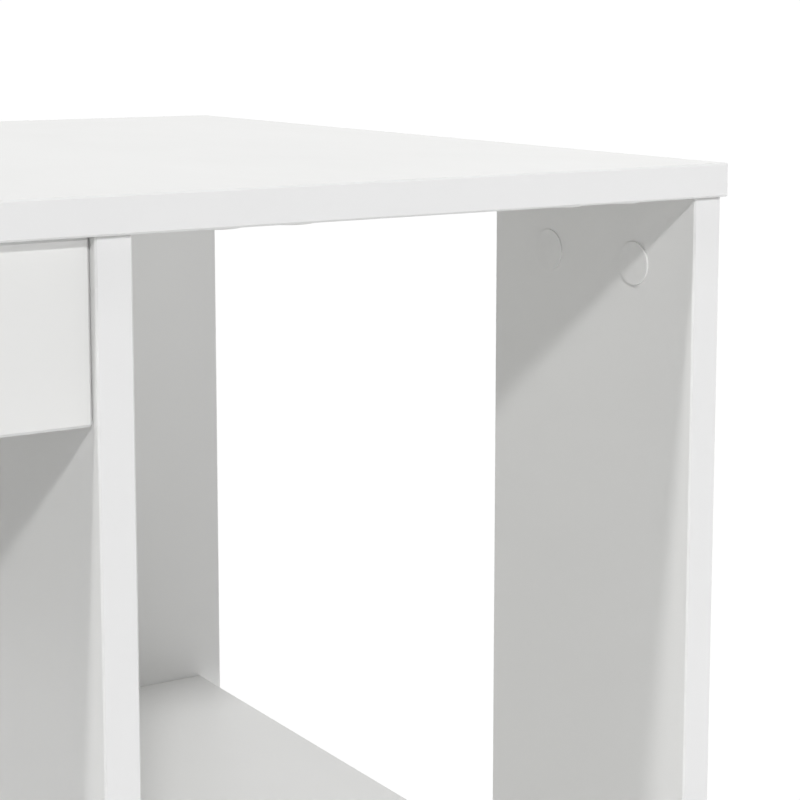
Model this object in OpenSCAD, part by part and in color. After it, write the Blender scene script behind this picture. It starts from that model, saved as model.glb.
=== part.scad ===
// Corner desk: a main wing along the wall, a narrower return wing that reaches
// forward at the left end, an open shelf unit under each wing's end and one
// drawer beside the right shelf unit. Millimetres, +Z up, +X to the right, the
// sitter's side faces -Y. The origin is on the floor, under the middle of the
// overall box.

/* [Desk] */
// Overall length of the main wing
desk_w = 1400; // [1160:10:1700]
// Height of the worktop above the floor
desk_h = 750; // [620:5:900]
// Depth of the main worktop
main_d = 500; // [415:5:600]
// Width of the return worktop
return_w = 300; // [270:5:380]
// How far the return worktop reaches forward of the main one
return_l = 500; // [415:5:650]

/* [Boards] */
// Thickness of every carcass board
board_t = 15; // [15:0.5:18]
// Chamfer on the boards' edges
edge_c = 0.8; // [0.3:0.1:1.2]
// Worktop overhang past the panels at the front edges
front_lip = 2.5; // [0:0.5:10]
// Worktop overhang past the panels at the ends
side_lip = 2; // [0:0.5:10]

/* [Shelf units] */
// Width of the right shelf unit, over its divider and its leg panel
unit_w = 300; // [250:5:380]
// Depth of the right leg panel
leg_d = 150; // [120:5:200]
// Height of the middle shelves' undersides above the floor
mid_shelf_z = 367; // [300:1:460]
// Setback of the shelves' front edges from the panels' front edges
shelf_setback = 3; // [1:0.5:20]
// Height of the modesty panel
modesty_h = 300; // [200:5:400]

/* [Drawer] */
// Clear width between the hanger panel and the divider
drawer_opening = 400; // [330:5:480]
// Height of the drawer front
drawer_front_h = 70.5; // [67:0.5:90]
// Depth of the drawer box behind its front
drawer_box_d = 350; // [290:5:380]
// Height of the drawer sides
drawer_side_h = 50; // [42:1:56]
// Thickness of the drawer sides and back
drawer_side_t = 12; // [12:0.5:14]
// Thickness of the drawer bottom
drawer_bottom_t = 3; // [2.5:0.5:4]
// Gap round the drawer front
drawer_gap = 0.5; // [0.4:0.1:3]
// How far the drawer front stands back from the panels' front edges
drawer_recess = 3.5; // [0:0.5:8]

/* [Runners] */
// Width that each runner takes between drawer side and cabinet
runner_gap = 12.5; // [12:0.5:14]
// Outer diameter of the runner rollers
roller_d = 17; // [15:0.5:18]
// Width of the runner rollers
roller_w = 6; // [5:0.5:6.5]
// Sheet thickness of the runners
sheet_t = 1; // [0.8:0.1:1.2]

/* [Fittings] */
// Diameter of the cam locks
cam_d = 14.8; // [12:0.1:14.8]
// Distance from a joint to the centre of its cam locks
cam_reach = 33; // [27:1:40]
// Distance from the worktops' joint to the centre of its cam locks
top_cam_reach = 22; // [20:1:34]
// Diameter of the cover caps
cap_d = 20; // [18:0.5:24]
// How far the cover caps over the cam locks stand proud
cap_proud = 0.9; // [0.7:0.1:2.5]
// How far the caps on the spare holes' plugs stand proud
plug_proud = 1.8; // [0.7:0.1:2.5]
// Distance from the leg panel's front edge to its first cam lock
leg_cam_inset = 41; // [30:1:50]
// Distance between the leg panel's two cam locks
leg_cam_pitch = 64; // [53:1:77]
// Distance from the worktop's end to the first cam lock of its joint
pair_inset = 45.5; // [38:0.5:55]
// Distance between two cam locks of a pair under the worktop
pair_pitch = 32; // [27:1:38]
// Distance between the first cam locks of the two pairs
pair_spread = 165; // [138:1:172]
// Diameter of the wooden dowels
dowel_d = 8; // [6:0.5:8]
// Diameter of the floor glides
glide_d = 14; // [12:0.5:15]
// Height of the floor glides
glide_h = 3; // [2:0.5:6]

/* [Hidden] */
$fn = 48;
BOARDS = ["main_top", "return_top", "right_leg_panel", "divider_panel", "right_back_panel",
          "right_mid_shelf", "right_bottom_shelf", "left_side_panel", "modesty_panel",
          "drawer_hanger_panel", "return_front_gable", "return_rear_gable",
          "return_back_panel", "return_mid_shelf", "return_bottom_shelf"];
FITTINGS = ["cam_locks", "cam_bolts", "cam_cover_caps", "spare_hole_plugs", "dowels",
            "back_panel_screws", "floor_glides"];
DRAWER = ["drawer_front", "drawer_left_side", "drawer_right_side", "drawer_back",
          "drawer_bottom", "drawer_cam_locks", "drawer_cam_bolts", "drawer_dowels",
          "drawer_back_screws"];
RUNNERS = ["left_cabinet_runner", "right_cabinet_runner", "left_drawer_runner",
           "right_drawer_runner", "cabinet_roller_axles", "drawer_roller_axles",
           "left_cabinet_roller", "right_cabinet_roller", "left_drawer_roller",
           "right_drawer_roller", "cabinet_runner_screws", "drawer_runner_screws"];

white = "#ededeb";
cap_white = "#e6e6e4";
zinc = "#a9abad";
steel = "#b9bbbd";
beech = "#d9b98a";
hardboard = "#e3e2de";
runner_white = "#dcdcda";
nylon = "#f4f4f0";

// Clearances
cam_clear = 0.1;        // radial, cam lock in its bore
bolt_clear = 0.2;       // radial, bolt in its bores
dowel_clear = 0.05;     // radial, dowel in its bores
running = 0.3;          // between a roller and its track
axle_clear = 0.08;      // radial, roller on its axle
end_clear = 0.2;        // between a pin's end and the end of its bore
groove_clear = 0.2;     // drawer bottom in its grooves

// Edges of the worktops
x_right = desk_w / 2;
x_left = -desk_w / 2;
y_back = (main_d + return_l) / 2;
y_joint = y_back - main_d;
y_end = -y_back;
top_z = desk_h - board_t;
panel_h = top_z - glide_h;
y_front = y_joint + front_lip;

// Right shelf unit
leg_x = x_right - side_lip - board_t;
divider_x = x_right - side_lip - unit_w;
bay_x = divider_x + board_t;
bay_w = unit_w - 2 * board_t;
rear_y = y_back - board_t;
shelf_d = rear_y - y_front - shelf_setback;

// Left end and return unit
left_x = x_left + side_lip;
inner_x = left_x + board_t;
gable_w = return_w - 2 * side_lip;
gable_y = y_end + front_lip;
rear_gable_y = y_joint - board_t;
return_bay_y = gable_y + board_t;
return_bay_l = rear_gable_y - return_bay_y;
return_shelf_d = gable_w - board_t - shelf_setback;

// Modesty and hanger panels
modesty_y = rear_y - board_t;
modesty_l = divider_x - inner_x;
hanger_x = divider_x - drawer_opening - board_t;
bay_left = hanger_x + board_t;

// Drawer
front_w = drawer_opening - 2 * drawer_gap;
front_z = top_z - drawer_gap - drawer_front_h;
front_y = y_front + drawer_recess;
box_y = front_y + board_t;
box_w = drawer_opening - 2 * runner_gap;
box_x = bay_left + runner_gap;
side_lift = 10.5;
front_chamfer = 1.1;
box_chamfer = 0.5;
side_z = front_z + side_lift;
inner_w = box_w - 2 * drawer_side_t;
hanger_h = drawer_gap + drawer_front_h + 6;

// Runners: a channel on the cabinet, an angle on the drawer, one roller on each
roller_r = roller_d / 2;
channel_h = 2 * sheet_t + 2 * roller_r + 2 * running + sheet_t + 2 * running;
channel_z = side_z - sheet_t - 5;
track_z = channel_z + sheet_t;
axle_z = track_z + running + roller_r;
flange_z = axle_z + roller_r + running;
runner_inset = 1;
runner_y = box_y + runner_inset;
runner_l = drawer_box_d - runner_inset;
channel_w = 10;
roller_u = 2.3;
flange_u = 2;
axle_r = 2;
rivet_r = 1.48;         // tail of an axle, in its hole in the sheet
rivet_hole_r = 1.5;
axle_head_r = 3.2;
axle_head_h = 0.6;
head_recess_r = 3.6;
head_recess_h = 0.9;
runner_screw_r = 1.6;
runner_screw_l = 12;
runner_screw_head_r = 3.4;
runner_screw_head_h = 0.8;
drawer_screw_l = 9;
drawer_screw_head_r = 3;
drawer_screw_head_h = 1.2;
roller_edge = 0.5;
front_axle_y = runner_y + roller_r + 1.5;
rear_axle_y = box_y + drawer_box_d - roller_r - 1.5;
drawer_screw_z = axle_z + 1;
drawer_screw_r = 1.5;

// The drawer bottom's groove lies just above the runner screws
groove_depth = 6;
groove_z = drawer_screw_z + drawer_screw_r + 1.5;
groove_h = drawer_bottom_t + groove_clear;
back_z = groove_z + groove_h;

// Fittings
cam_r = cam_d / 2;
cam_h = 12;
cam_bore_floor = 0.4;   // between a cam's inner end and the bottom of its bore
cam_bore_h = cam_h + cam_bore_floor;
drawer_cam_h = 9;
cam_slot_w = 1.4;
cam_slot_l = 7;
cam_slot_h = 2.6;
cam_mouth_w = 6;
bolt_bite = 11;
bolt_shank_r = 2.5;
bolt_thread_r = 2.4;
bolt_collar_r = 3.2;
bolt_collar_h = 3;
bolt_head_r = 2.6;
bolt_head_h = 4;
bolt_neck_r = 1.7;
bolt_neck_h = 4;
cap_bevel = 0.3;
cap_peg_r = 0.6;
cap_peg_l = 1.8;
plug_l = 6;             // reach of a spare hole's plug into its bore
plug_slack = 0.4;       // radial, plug in its bore
dowel_r = dowel_d / 2;
dowel_in_face = 9;
dowel_in_edge = 20;
dowel_taper = 0.8;
glide_rim = 0.6;
glide_pin_r = 1;
glide_pin_l = 12;
glide_pin_clear = 0.1;  // radial, a glide's pin in its bore
down = [0, 0, -1];
t2 = board_t / 2;

// Distances of the fittings from the ends of the joints that they hold
panel_cam_inset = 60;
panel_dowel_inset = 110;
back_cam_inset = 80;
back_dowel_inset = 112;
gable_dowel_inset = 100;
shelf_cam_inset = 70;
shelf_front_inset = 45;
glide_inset = 40;
short_glide_inset = 25;

// Joints. Each is [point, into, face]: the point lies on the joint's plane in the
// middle of the board that holds the cam, "into" runs into that board from the
// joint, and "face" is the normal of the face that the cam is let into.
function top_joint(x, y, face) = [[x, y, top_z], down, face];
function across(a, b, inset, n) = [for (i = [0:n - 1]) a + inset + i * (b - a - 2 * inset) / (n - 1)];

leg_cam_y = y_front + leg_cam_inset;
leg_top = [for (i = [0, 1]) top_joint(leg_x + t2, leg_cam_y + i * leg_cam_pitch, [-1, 0, 0])];
divider_top = [for (y = across(y_front, rear_y, panel_cam_inset, 2))
    top_joint(divider_x + t2, y, [1, 0, 0])];
back_top = [for (x = across(divider_x, leg_x + board_t, back_cam_inset, 2))
    top_joint(x, rear_y + t2, [0, -1, 0])];
left_top = [for (y = across(y_joint, y_back, panel_cam_inset, 2)) top_joint(left_x + t2, y, [1, 0, 0])];
hanger_top = [for (y = across(y_front, modesty_y, panel_cam_inset, 2))
    top_joint(hanger_x + t2, y, [-1, 0, 0])];
main_tops = concat(leg_top, divider_top, back_top, left_top, hanger_top);

gable_top = [for (x = across(left_x, left_x + gable_w, panel_cam_inset, 2))
    top_joint(x, gable_y + t2, [0, 1, 0])];
rear_gable_top = [for (x = across(left_x, left_x + gable_w, panel_cam_inset, 2))
    top_joint(x, rear_gable_y + t2, [0, -1, 0])];
return_back_top = [for (y = across(return_bay_y, rear_gable_y, back_cam_inset + 20, 2))
    top_joint(left_x + t2, y, [1, 0, 0])];
return_tops = concat(gable_top, rear_gable_top, return_back_top);

modesty_heights = across(top_z - modesty_h, top_z, panel_cam_inset, 2);
modesty_left = [for (z = modesty_heights) [[inner_x, modesty_y + t2, z], [1, 0, 0], [0, 1, 0]]];
modesty_right = [for (z = modesty_heights) [[divider_x, modesty_y + t2, z], [-1, 0, 0], [0, 1, 0]]];
hanger_rear = [[[hanger_x + t2, modesty_y, top_z - hanger_h / 2 - 8], [0, -1, 0], [-1, 0, 0]]];

shelf_heights = [mid_shelf_z, glide_h];
shelf_cam_ys = across(y_front + shelf_setback, rear_y, shelf_cam_inset, 2);
leg_shelf_cam_y = y_front + leg_d - shelf_front_inset;
function shelf_to_divider(z) = [for (y = shelf_cam_ys) [[bay_x, y, z + t2], [1, 0, 0], down]];
function shelf_to_leg(z) = [[[leg_x, leg_shelf_cam_y, z + t2], [-1, 0, 0], down]];
function shelf_to_back(z) = [[[leg_x - shelf_cam_inset, rear_y, z + t2], [0, -1, 0], down]];
function shelf_joints(z) = concat(shelf_to_divider(z), shelf_to_leg(z), shelf_to_back(z));

return_cam_xs = across(inner_x, inner_x + return_shelf_d, shelf_cam_inset, 2);
function shelf_to_gable(z) = [for (x = return_cam_xs) [[x, return_bay_y, z + t2], [0, 1, 0], down]];
function shelf_to_rear(z) = [for (x = return_cam_xs) [[x, rear_gable_y, z + t2], [0, -1, 0], down]];
function return_shelf_joints(z) = concat(shelf_to_gable(z), shelf_to_rear(z));

back_heights = [180, mid_shelf_z + 210];
return_back_front = [for (z = back_heights)
    [[left_x + t2, return_bay_y, z], [0, 1, 0], [1, 0, 0]]];
return_back_rear = [for (z = back_heights)
    [[left_x + t2, rear_gable_y, z], [0, -1, 0], [1, 0, 0]]];
left_front = [for (z = back_heights) [[left_x + t2, y_joint, z], [0, 1, 0], [1, 0, 0]]];

// Connectors between the worktops, and the spare set under the right end: the
// return can hang on either end of the main top
connector_xs = [for (a = [0, 1], b = [0, 1]) pair_inset + a * pair_spread + b * pair_pitch];
top_link = [for (x = connector_xs) [[x_left + x, y_joint, desk_h - t2], [0, 1, 0], down]];
spare_points = [for (x = connector_xs) [x_right - x, y_joint + top_cam_reach, top_z]];

panel_joints = concat(main_tops, return_tops, modesty_left, modesty_right, hanger_rear,
    [for (z = shelf_heights) each shelf_joints(z)],
    [for (z = shelf_heights) each return_shelf_joints(z)],
    return_back_front, return_back_rear, left_front);

// Dowels stand between the cams of a joint: [point on the joint's plane, into]
function top_dowel(x, y) = [[x, y, top_z], down];
main_dowels = concat(
    [top_dowel(leg_x + t2, leg_cam_y + leg_cam_pitch / 2)],
    [for (y = across(y_front, rear_y, panel_dowel_inset, 2)) top_dowel(divider_x + t2, y)],
    [for (x = across(divider_x, leg_x + board_t, back_dowel_inset, 2)) top_dowel(x, rear_y + t2)],
    [for (y = across(y_joint, y_back, panel_dowel_inset, 2)) top_dowel(left_x + t2, y)],
    [for (y = across(y_front, modesty_y, panel_dowel_inset, 2)) top_dowel(hanger_x + t2, y)]);
return_dowels = concat(
    [for (x = across(left_x, left_x + gable_w, gable_dowel_inset, 2)) top_dowel(x, gable_y + t2)],
    [for (x = across(left_x, left_x + gable_w, gable_dowel_inset, 2)) top_dowel(x, rear_gable_y + t2)]);
function shelf_dowels(z) = [
    [[bay_x, (shelf_cam_ys[0] + shelf_cam_ys[1]) / 2, z + t2], [1, 0, 0]],
    [[leg_x, y_front + shelf_front_inset, z + t2], [-1, 0, 0]],
    [[bay_x + shelf_cam_inset, rear_y, z + t2], [0, -1, 0]]];
function return_shelf_dowels(z) = [
    [[(return_cam_xs[0] + return_cam_xs[1]) / 2, return_bay_y, z + t2], [0, 1, 0]],
    [[(return_cam_xs[0] + return_cam_xs[1]) / 2, rear_gable_y, z + t2], [0, -1, 0]]];
all_dowels = concat(main_dowels, return_dowels,
    [for (z = shelf_heights) each shelf_dowels(z)],
    [for (z = shelf_heights) each return_shelf_dowels(z)]);

back_screw_heights = [120, desk_h / 2 + 40, top_z - 120];
screw_l = 50;
screw_r = 3;
screw_head_r = 5;
screw_sink = 0.1;       // depth of a countersunk head below its board's face

drawer_cam_z = side_z + drawer_side_h - 15;
drawer_dowel_z = side_z + drawer_side_h - 32;
drawer_cams = [
    [[box_x + drawer_side_t / 2, box_y, drawer_cam_z], [0, 1, 0], [1, 0, 0]],
    [[box_x + box_w - drawer_side_t / 2, box_y, drawer_cam_z], [0, 1, 0], [-1, 0, 0]]];
drawer_pegs = [for (x = [box_x + drawer_side_t / 2, box_x + box_w - drawer_side_t / 2])
    [[x, box_y, drawer_dowel_z], [0, 1, 0]]];
back_screw_zs = [back_z + 9, back_z + 27];
back_screw_l = 35;
back_screw_r = 1.8;
back_screw_head_r = 3.6;
runner_screw_ys = [for (k = [0.2, 0.5, 0.8]) runner_y + k * runner_l];

glides = concat(
    [for (y = across(y_front, y_front + leg_d, short_glide_inset, 2)) [leg_x + t2, y]],
    [for (y = across(y_front, rear_y, glide_inset, 2)) [divider_x + t2, y]],
    [for (x = across(divider_x + board_t, leg_x + board_t, glide_inset, 2)) [x, rear_y + t2]],
    [for (y = across(y_joint, y_back, glide_inset, 2)) [left_x + t2, y]],
    [for (x = across(left_x, left_x + gable_w, short_glide_inset, 2)) [x, gable_y + t2]],
    [for (x = across(left_x, left_x + gable_w, short_glide_inset, 2)) [x, rear_gable_y + t2]]);

// ---- Shared shapes ----

// Puts children on a joint: their +Z runs along into, their +X along face
module place(point, into, face) {
    side = cross(into, face);
    multmatrix([[face.x, side.x, into.x, point.x],
                [face.y, side.y, into.y, point.y],
                [face.z, side.z, into.z, point.z],
                [0, 0, 0, 1]])
        children();
}

// Any direction square to the given one
function square_to(v) = abs(v.z) > 0.5 ? [1, 0, 0] : [0, 0, 1];

module chamfered_outline(a, b, c) {
    polygon([[c, 0], [a - c, 0], [a, c], [a, b - c], [a - c, b], [c, b], [0, b - c], [0, c]]);
}

// A board of the given size with every edge chamfered
module board(size, c = edge_c) {
    intersection() {
        linear_extrude(size.z) chamfered_outline(size.x, size.y, c);
        rotate([90, 0, 90]) linear_extrude(size.x) chamfered_outline(size.y, size.z, c);
        translate([0, size.y, 0]) rotate([90, 0, 0])
            linear_extrude(size.y) chamfered_outline(size.x, size.z, c);
    }
}

// Blind bore for a cam lock and the bore for its bolt, cut into a board's edge
module cam_bores(joints, reach = cam_reach, half = t2, depth = cam_bore_h) {
    for (j = joints) place(j[0], j[1], j[2]) {
        translate([half - depth, 0, reach]) rotate([0, 90, 0])
            cylinder(h = depth + 1, r = cam_r + cam_clear);
        translate([0, 0, -1]) cylinder(h = reach, r = bolt_collar_r + bolt_clear);
    }
}

// Pilot bore for a cam bolt's thread, in the board that the joint butts against
module pilot_bores(joints) {
    for (j = joints) place(j[0], j[1], j[2])
        translate([0, 0, -bolt_bite - end_clear])
            cylinder(h = bolt_bite + end_clear + 1, r = bolt_thread_r + bolt_clear / 2);
}

module cam_lock(reach, half, height) {
    difference() {
        translate([half - height, 0, reach]) rotate([0, 90, 0]) cylinder(h = height - end_clear, r = cam_r);
        // Mouth that the bolt's head enters
        translate([-bolt_collar_r, -cam_mouth_w / 2, reach - cam_r - 1])
            cube([2 * bolt_collar_r, cam_mouth_w, cam_r + 5]);
        // Driver recess
        translate([half - cam_slot_h, -cam_slot_l / 2, reach - cam_slot_w / 2])
            cube([cam_slot_h + 1, cam_slot_l, cam_slot_w]);
        translate([half - cam_slot_h, -cam_slot_w / 2, reach - cam_slot_l / 2])
            cube([cam_slot_h + 1, cam_slot_w, cam_slot_l]);
    }
}

module cam_bolt(reach) {
    translate([0, 0, -bolt_bite]) cylinder(h = bolt_bite, r = bolt_thread_r);
    neck_z = reach + 1 - bolt_head_h - bolt_neck_h;
    cylinder(h = bolt_collar_h, r = bolt_collar_r);
    translate([0, 0, bolt_collar_h]) cylinder(h = neck_z - bolt_collar_h, r = bolt_shank_r);
    translate([0, 0, neck_z]) cylinder(h = bolt_neck_h, r = bolt_neck_r);
    translate([0, 0, neck_z + bolt_neck_h]) cylinder(h = bolt_head_h, r = bolt_head_r);
}

// Cover cap on the face above a cam: a low disc with a bevelled rim and a peg
module cover_cap(reach, half, proud = cap_proud) {
    translate([half, 0, reach]) rotate([0, 90, 0]) {
        cylinder(h = proud - cap_bevel, r = cap_d / 2);
        translate([0, 0, proud - cap_bevel])
            cylinder(h = cap_bevel, r1 = cap_d / 2, r2 = cap_d / 2 - cap_bevel);
        translate([0, 0, -cap_peg_l]) cylinder(h = cap_peg_l, r = cap_peg_r);
    }
}

module dowel_bores(pegs, in_face = dowel_in_face, in_edge = dowel_in_edge) {
    for (p = pegs) place(p[0], p[1], square_to(p[1]))
        translate([0, 0, -in_face - end_clear])
            cylinder(h = in_face + in_edge + 2 * end_clear, r = dowel_r + dowel_clear);
}

module dowel(in_face = dowel_in_face, in_edge = dowel_in_edge) {
    length = in_face + in_edge;
    translate([0, 0, -in_face]) {
        cylinder(h = dowel_taper, r1 = dowel_r - dowel_taper, r2 = dowel_r);
        translate([0, 0, dowel_taper]) cylinder(h = length - 2 * dowel_taper, r = dowel_r);
        translate([0, 0, length - dowel_taper])
            cylinder(h = dowel_taper, r1 = dowel_r, r2 = dowel_r - dowel_taper);
    }
}

// Countersunk wood screw: its head's face at z = 0, its point at z = -length
module wood_screw(length, r, head_r) {
    head_h = head_r - r;
    point_h = 4;
    translate([0, 0, point_h - length]) cylinder(h = length - point_h - head_h, r = r);
    translate([0, 0, -length]) cylinder(h = point_h, r1 = 0.4, r2 = r);
    translate([0, 0, -head_h]) cylinder(h = head_h, r1 = r, r2 = head_r);
}

module wood_screw_bore(length, r, head_r) {
    gap = screw_sink;
    head_h = head_r - r;
    translate([0, 0, -length - end_clear]) cylinder(h = length, r = r + gap);
    translate([0, 0, -head_h - gap]) cylinder(h = head_h + gap, r1 = r + gap, r2 = head_r + 2 * gap);
    translate([0, 0, -gap]) cylinder(h = 1, r = head_r + 2 * gap);
}

module glide_bores() {
    for (g = glides) translate([g.x, g.y, glide_h - 1])
        cylinder(h = glide_pin_l + 1 + end_clear, r = glide_pin_r + glide_pin_clear);
}

// ---- Worktops ----

module main_top() {
    color(white) difference() {
        translate([x_left, y_joint, top_z]) board([desk_w, main_d, board_t]);
        pilot_bores(main_tops);
        dowel_bores(main_dowels);
        cam_bores(top_link, top_cam_reach);
        for (p = spare_points) translate([p.x, p.y, p.z - 1])
            cylinder(h = cam_bore_h + 1, r = cam_r + cam_clear);
    }
}

module return_top() {
    color(white) difference() {
        translate([x_left, y_end, top_z]) board([return_w, return_l, board_t]);
        pilot_bores(return_tops);
        dowel_bores(return_dowels);
        pilot_bores(top_link);
    }
}

// ---- Right shelf unit ----

module right_leg_panel() {
    color(white) difference() {
        translate([leg_x, y_front, glide_h]) board([board_t, leg_d, panel_h]);
        cam_bores(leg_top);
        dowel_bores([main_dowels[0]]);
        for (z = shelf_heights) {
            pilot_bores(shelf_to_leg(z));
            dowel_bores([shelf_dowels(z)[1]]);
        }
        glide_bores();
    }
}

module divider_panel() {
    color(white) difference() {
        translate([divider_x, y_front, glide_h]) board([board_t, rear_y - y_front, panel_h]);
        cam_bores(divider_top);
        dowel_bores([for (i = [1, 2]) main_dowels[i]]);
        pilot_bores(modesty_right);
        for (z = shelf_heights) {
            pilot_bores(shelf_to_divider(z));
            dowel_bores([shelf_dowels(z)[0]]);
        }
        back_screw_bores();
        glide_bores();
        runner_screw_bores(1);
    }
}

module right_back_panel() {
    color(white) difference() {
        translate([divider_x, rear_y, glide_h]) board([unit_w, board_t, panel_h]);
        cam_bores(back_top);
        dowel_bores([for (i = [3, 4]) main_dowels[i]]);
        for (z = shelf_heights) {
            pilot_bores(shelf_to_back(z));
            dowel_bores([shelf_dowels(z)[2]]);
        }
        back_screw_bores();
        glide_bores();
    }
}

module unit_shelf(z) {
    color(white) difference() {
        translate([bay_x, y_front + shelf_setback, z]) board([bay_w, shelf_d, board_t]);
        cam_bores(shelf_joints(z));
        dowel_bores(shelf_dowels(z));
    }
}

module right_mid_shelf() {
    unit_shelf(mid_shelf_z);
}

module right_bottom_shelf() {
    unit_shelf(glide_h);
}

// ---- Left end and knee space ----

module left_side_panel() {
    color(white) difference() {
        translate([left_x, y_joint, glide_h]) board([board_t, main_d, panel_h]);
        cam_bores(left_top);
        dowel_bores([for (i = [5, 6]) main_dowels[i]]);
        pilot_bores(modesty_left);
        cam_bores(left_front);
        glide_bores();
    }
}

module modesty_panel() {
    color(white) difference() {
        translate([inner_x, modesty_y, top_z - modesty_h]) board([modesty_l, board_t, modesty_h]);
        cam_bores(modesty_left);
        cam_bores(modesty_right);
        pilot_bores(hanger_rear);
    }
}

module drawer_hanger_panel() {
    color(white) difference() {
        translate([hanger_x, y_front, top_z - hanger_h]) board([board_t, modesty_y - y_front, hanger_h]);
        cam_bores(hanger_top);
        cam_bores(hanger_rear);
        dowel_bores([for (i = [7, 8]) main_dowels[i]]);
        runner_screw_bores(-1);
    }
}

// ---- Return unit ----

module return_gable(y, tops, backs, pegs) {
    difference() {
        translate([left_x, y, glide_h]) board([gable_w, board_t, panel_h]);
        cam_bores(tops);
        dowel_bores(pegs);
        pilot_bores(backs);
        glide_bores();
        children();
    }
}

module return_front_gable() {
    color(white) return_gable(gable_y, gable_top, return_back_front, [for (i = [0, 1]) return_dowels[i]])
        for (z = shelf_heights) {
            pilot_bores(shelf_to_gable(z));
            dowel_bores([return_shelf_dowels(z)[0]]);
        }
}

module return_rear_gable() {
    color(white) return_gable(rear_gable_y, rear_gable_top, concat(return_back_rear, left_front),
                              [for (i = [2, 3]) return_dowels[i]])
        for (z = shelf_heights) {
            pilot_bores(shelf_to_rear(z));
            dowel_bores([return_shelf_dowels(z)[1]]);
        }
}

module return_back_panel() {
    color(white) difference() {
        translate([left_x, return_bay_y, glide_h]) board([board_t, return_bay_l, panel_h]);
        cam_bores(return_back_top);
        cam_bores(return_back_front);
        cam_bores(return_back_rear);
    }
}

module return_shelf(z) {
    color(white) difference() {
        translate([inner_x, return_bay_y, z]) board([return_shelf_d, return_bay_l, board_t]);
        cam_bores(return_shelf_joints(z));
        dowel_bores(return_shelf_dowels(z));
    }
}

module return_mid_shelf() {
    return_shelf(mid_shelf_z);
}

module return_bottom_shelf() {
    return_shelf(glide_h);
}

// ---- Fittings ----

module cam_locks() {
    color(zinc) {
        for (j = panel_joints) place(j[0], j[1], j[2]) cam_lock(cam_reach, t2, cam_h);
        for (j = top_link) place(j[0], j[1], j[2]) cam_lock(top_cam_reach, t2, cam_h);
    }
}

module cam_bolts() {
    color(steel) {
        for (j = panel_joints) place(j[0], j[1], j[2]) cam_bolt(cam_reach);
        for (j = top_link) place(j[0], j[1], j[2]) cam_bolt(top_cam_reach);
    }
}

// Nobody sees the cams under the bottom shelves, so those have no caps
module cam_cover_caps() {
    color(cap_white) {
        for (j = panel_joints) if (j[0].z > glide_h + board_t)
            place(j[0], j[1], j[2]) cover_cap(cam_reach, t2);
        for (j = top_link) place(j[0], j[1], j[2]) cover_cap(top_cam_reach, t2);
    }
}

module spare_hole_plugs() {
    color(cap_white) for (p = spare_points) translate(p) {
        mirror([0, 0, 1]) rotate([0, -90, 0]) cover_cap(0, 0, plug_proud);
        cylinder(h = plug_l, r = cam_r - plug_slack);
    }
}

module dowels() {
    color(beech) for (p = all_dowels) place(p[0], p[1], square_to(p[1])) dowel();
}

module back_screw_bores() {
    for (z = back_screw_heights) translate([divider_x + t2, y_back, z]) rotate([-90, 0, 0])
        wood_screw_bore(screw_l, screw_r, screw_head_r);
}

module back_panel_screws() {
    color(steel) for (z = back_screw_heights) translate([divider_x + t2, y_back - screw_sink, z])
        rotate([-90, 0, 0]) wood_screw(screw_l - end_clear, screw_r, screw_head_r);
}

module floor_glides() {
    color(nylon) for (g = glides) translate([g.x, g.y, 0]) {
        cylinder(h = glide_rim, r1 = glide_d / 2 - glide_rim, r2 = glide_d / 2);
        translate([0, 0, glide_rim]) cylinder(h = glide_h - glide_rim, r = glide_d / 2);
        translate([0, 0, glide_h]) cylinder(h = glide_pin_l - 1, r = glide_pin_r);
        translate([0, 0, glide_h + glide_pin_l - 1]) cylinder(h = 1, r1 = glide_pin_r, r2 = 0.3);
    }
}

// ---- Drawer ----

module bottom_groove() {
    reach = groove_depth + groove_clear;
    translate([box_x + drawer_side_t - reach, box_y - reach, groove_z])
        cube([inner_w + 2 * reach, drawer_box_d + groove_depth + 2, groove_h]);
}

module drawer_front() {
    color(white) difference() {
        translate([bay_left + drawer_gap, front_y, front_z])
            board([front_w, board_t, drawer_front_h], front_chamfer);
        bottom_groove();
        pilot_bores(drawer_cams);
        dowel_bores(drawer_pegs);
    }
}

module drawer_side(x, i) {
    color(white) difference() {
        translate([x, box_y, side_z]) board([drawer_side_t, drawer_box_d, drawer_side_h], box_chamfer);
        bottom_groove();
        cam_bores([drawer_cams[i]], cam_reach, drawer_side_t / 2, drawer_cam_h + cam_bore_floor);
        dowel_bores([drawer_pegs[i]]);
        drawer_back_screw_bores();
        drawer_runner_screw_bores();
    }
}

module drawer_left_side() {
    drawer_side(box_x, 0);
}

module drawer_right_side() {
    drawer_side(box_x + box_w - drawer_side_t, 1);
}

module drawer_back() {
    color(white) difference() {
        translate([box_x + drawer_side_t, box_y + drawer_box_d - drawer_side_t, back_z])
            board([inner_w, drawer_side_t, side_z + drawer_side_h - back_z], box_chamfer);
        drawer_back_screw_bores();
    }
}

module drawer_bottom() {
    color(hardboard)
        translate([box_x + drawer_side_t - groove_depth, box_y - groove_depth, groove_z])
            cube([inner_w + 2 * groove_depth, drawer_box_d + groove_depth, drawer_bottom_t]);
}

module drawer_cam_locks() {
    color(zinc) for (j = drawer_cams) place(j[0], j[1], j[2])
        cam_lock(cam_reach, drawer_side_t / 2, drawer_cam_h);
}

module drawer_cam_bolts() {
    color(steel) for (j = drawer_cams) place(j[0], j[1], j[2]) cam_bolt(cam_reach);
}

module drawer_dowels() {
    color(beech) for (p = drawer_pegs) place(p[0], p[1], square_to(p[1])) dowel();
}

// Puts children on the outer faces of the drawer's sides, their +Z pointing out
module on_drawer_sides(y, z) {
    translate([box_x, y, z]) rotate([0, -90, 0]) children();
    translate([box_x + box_w, y, z]) rotate([0, 90, 0]) children();
}

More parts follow.
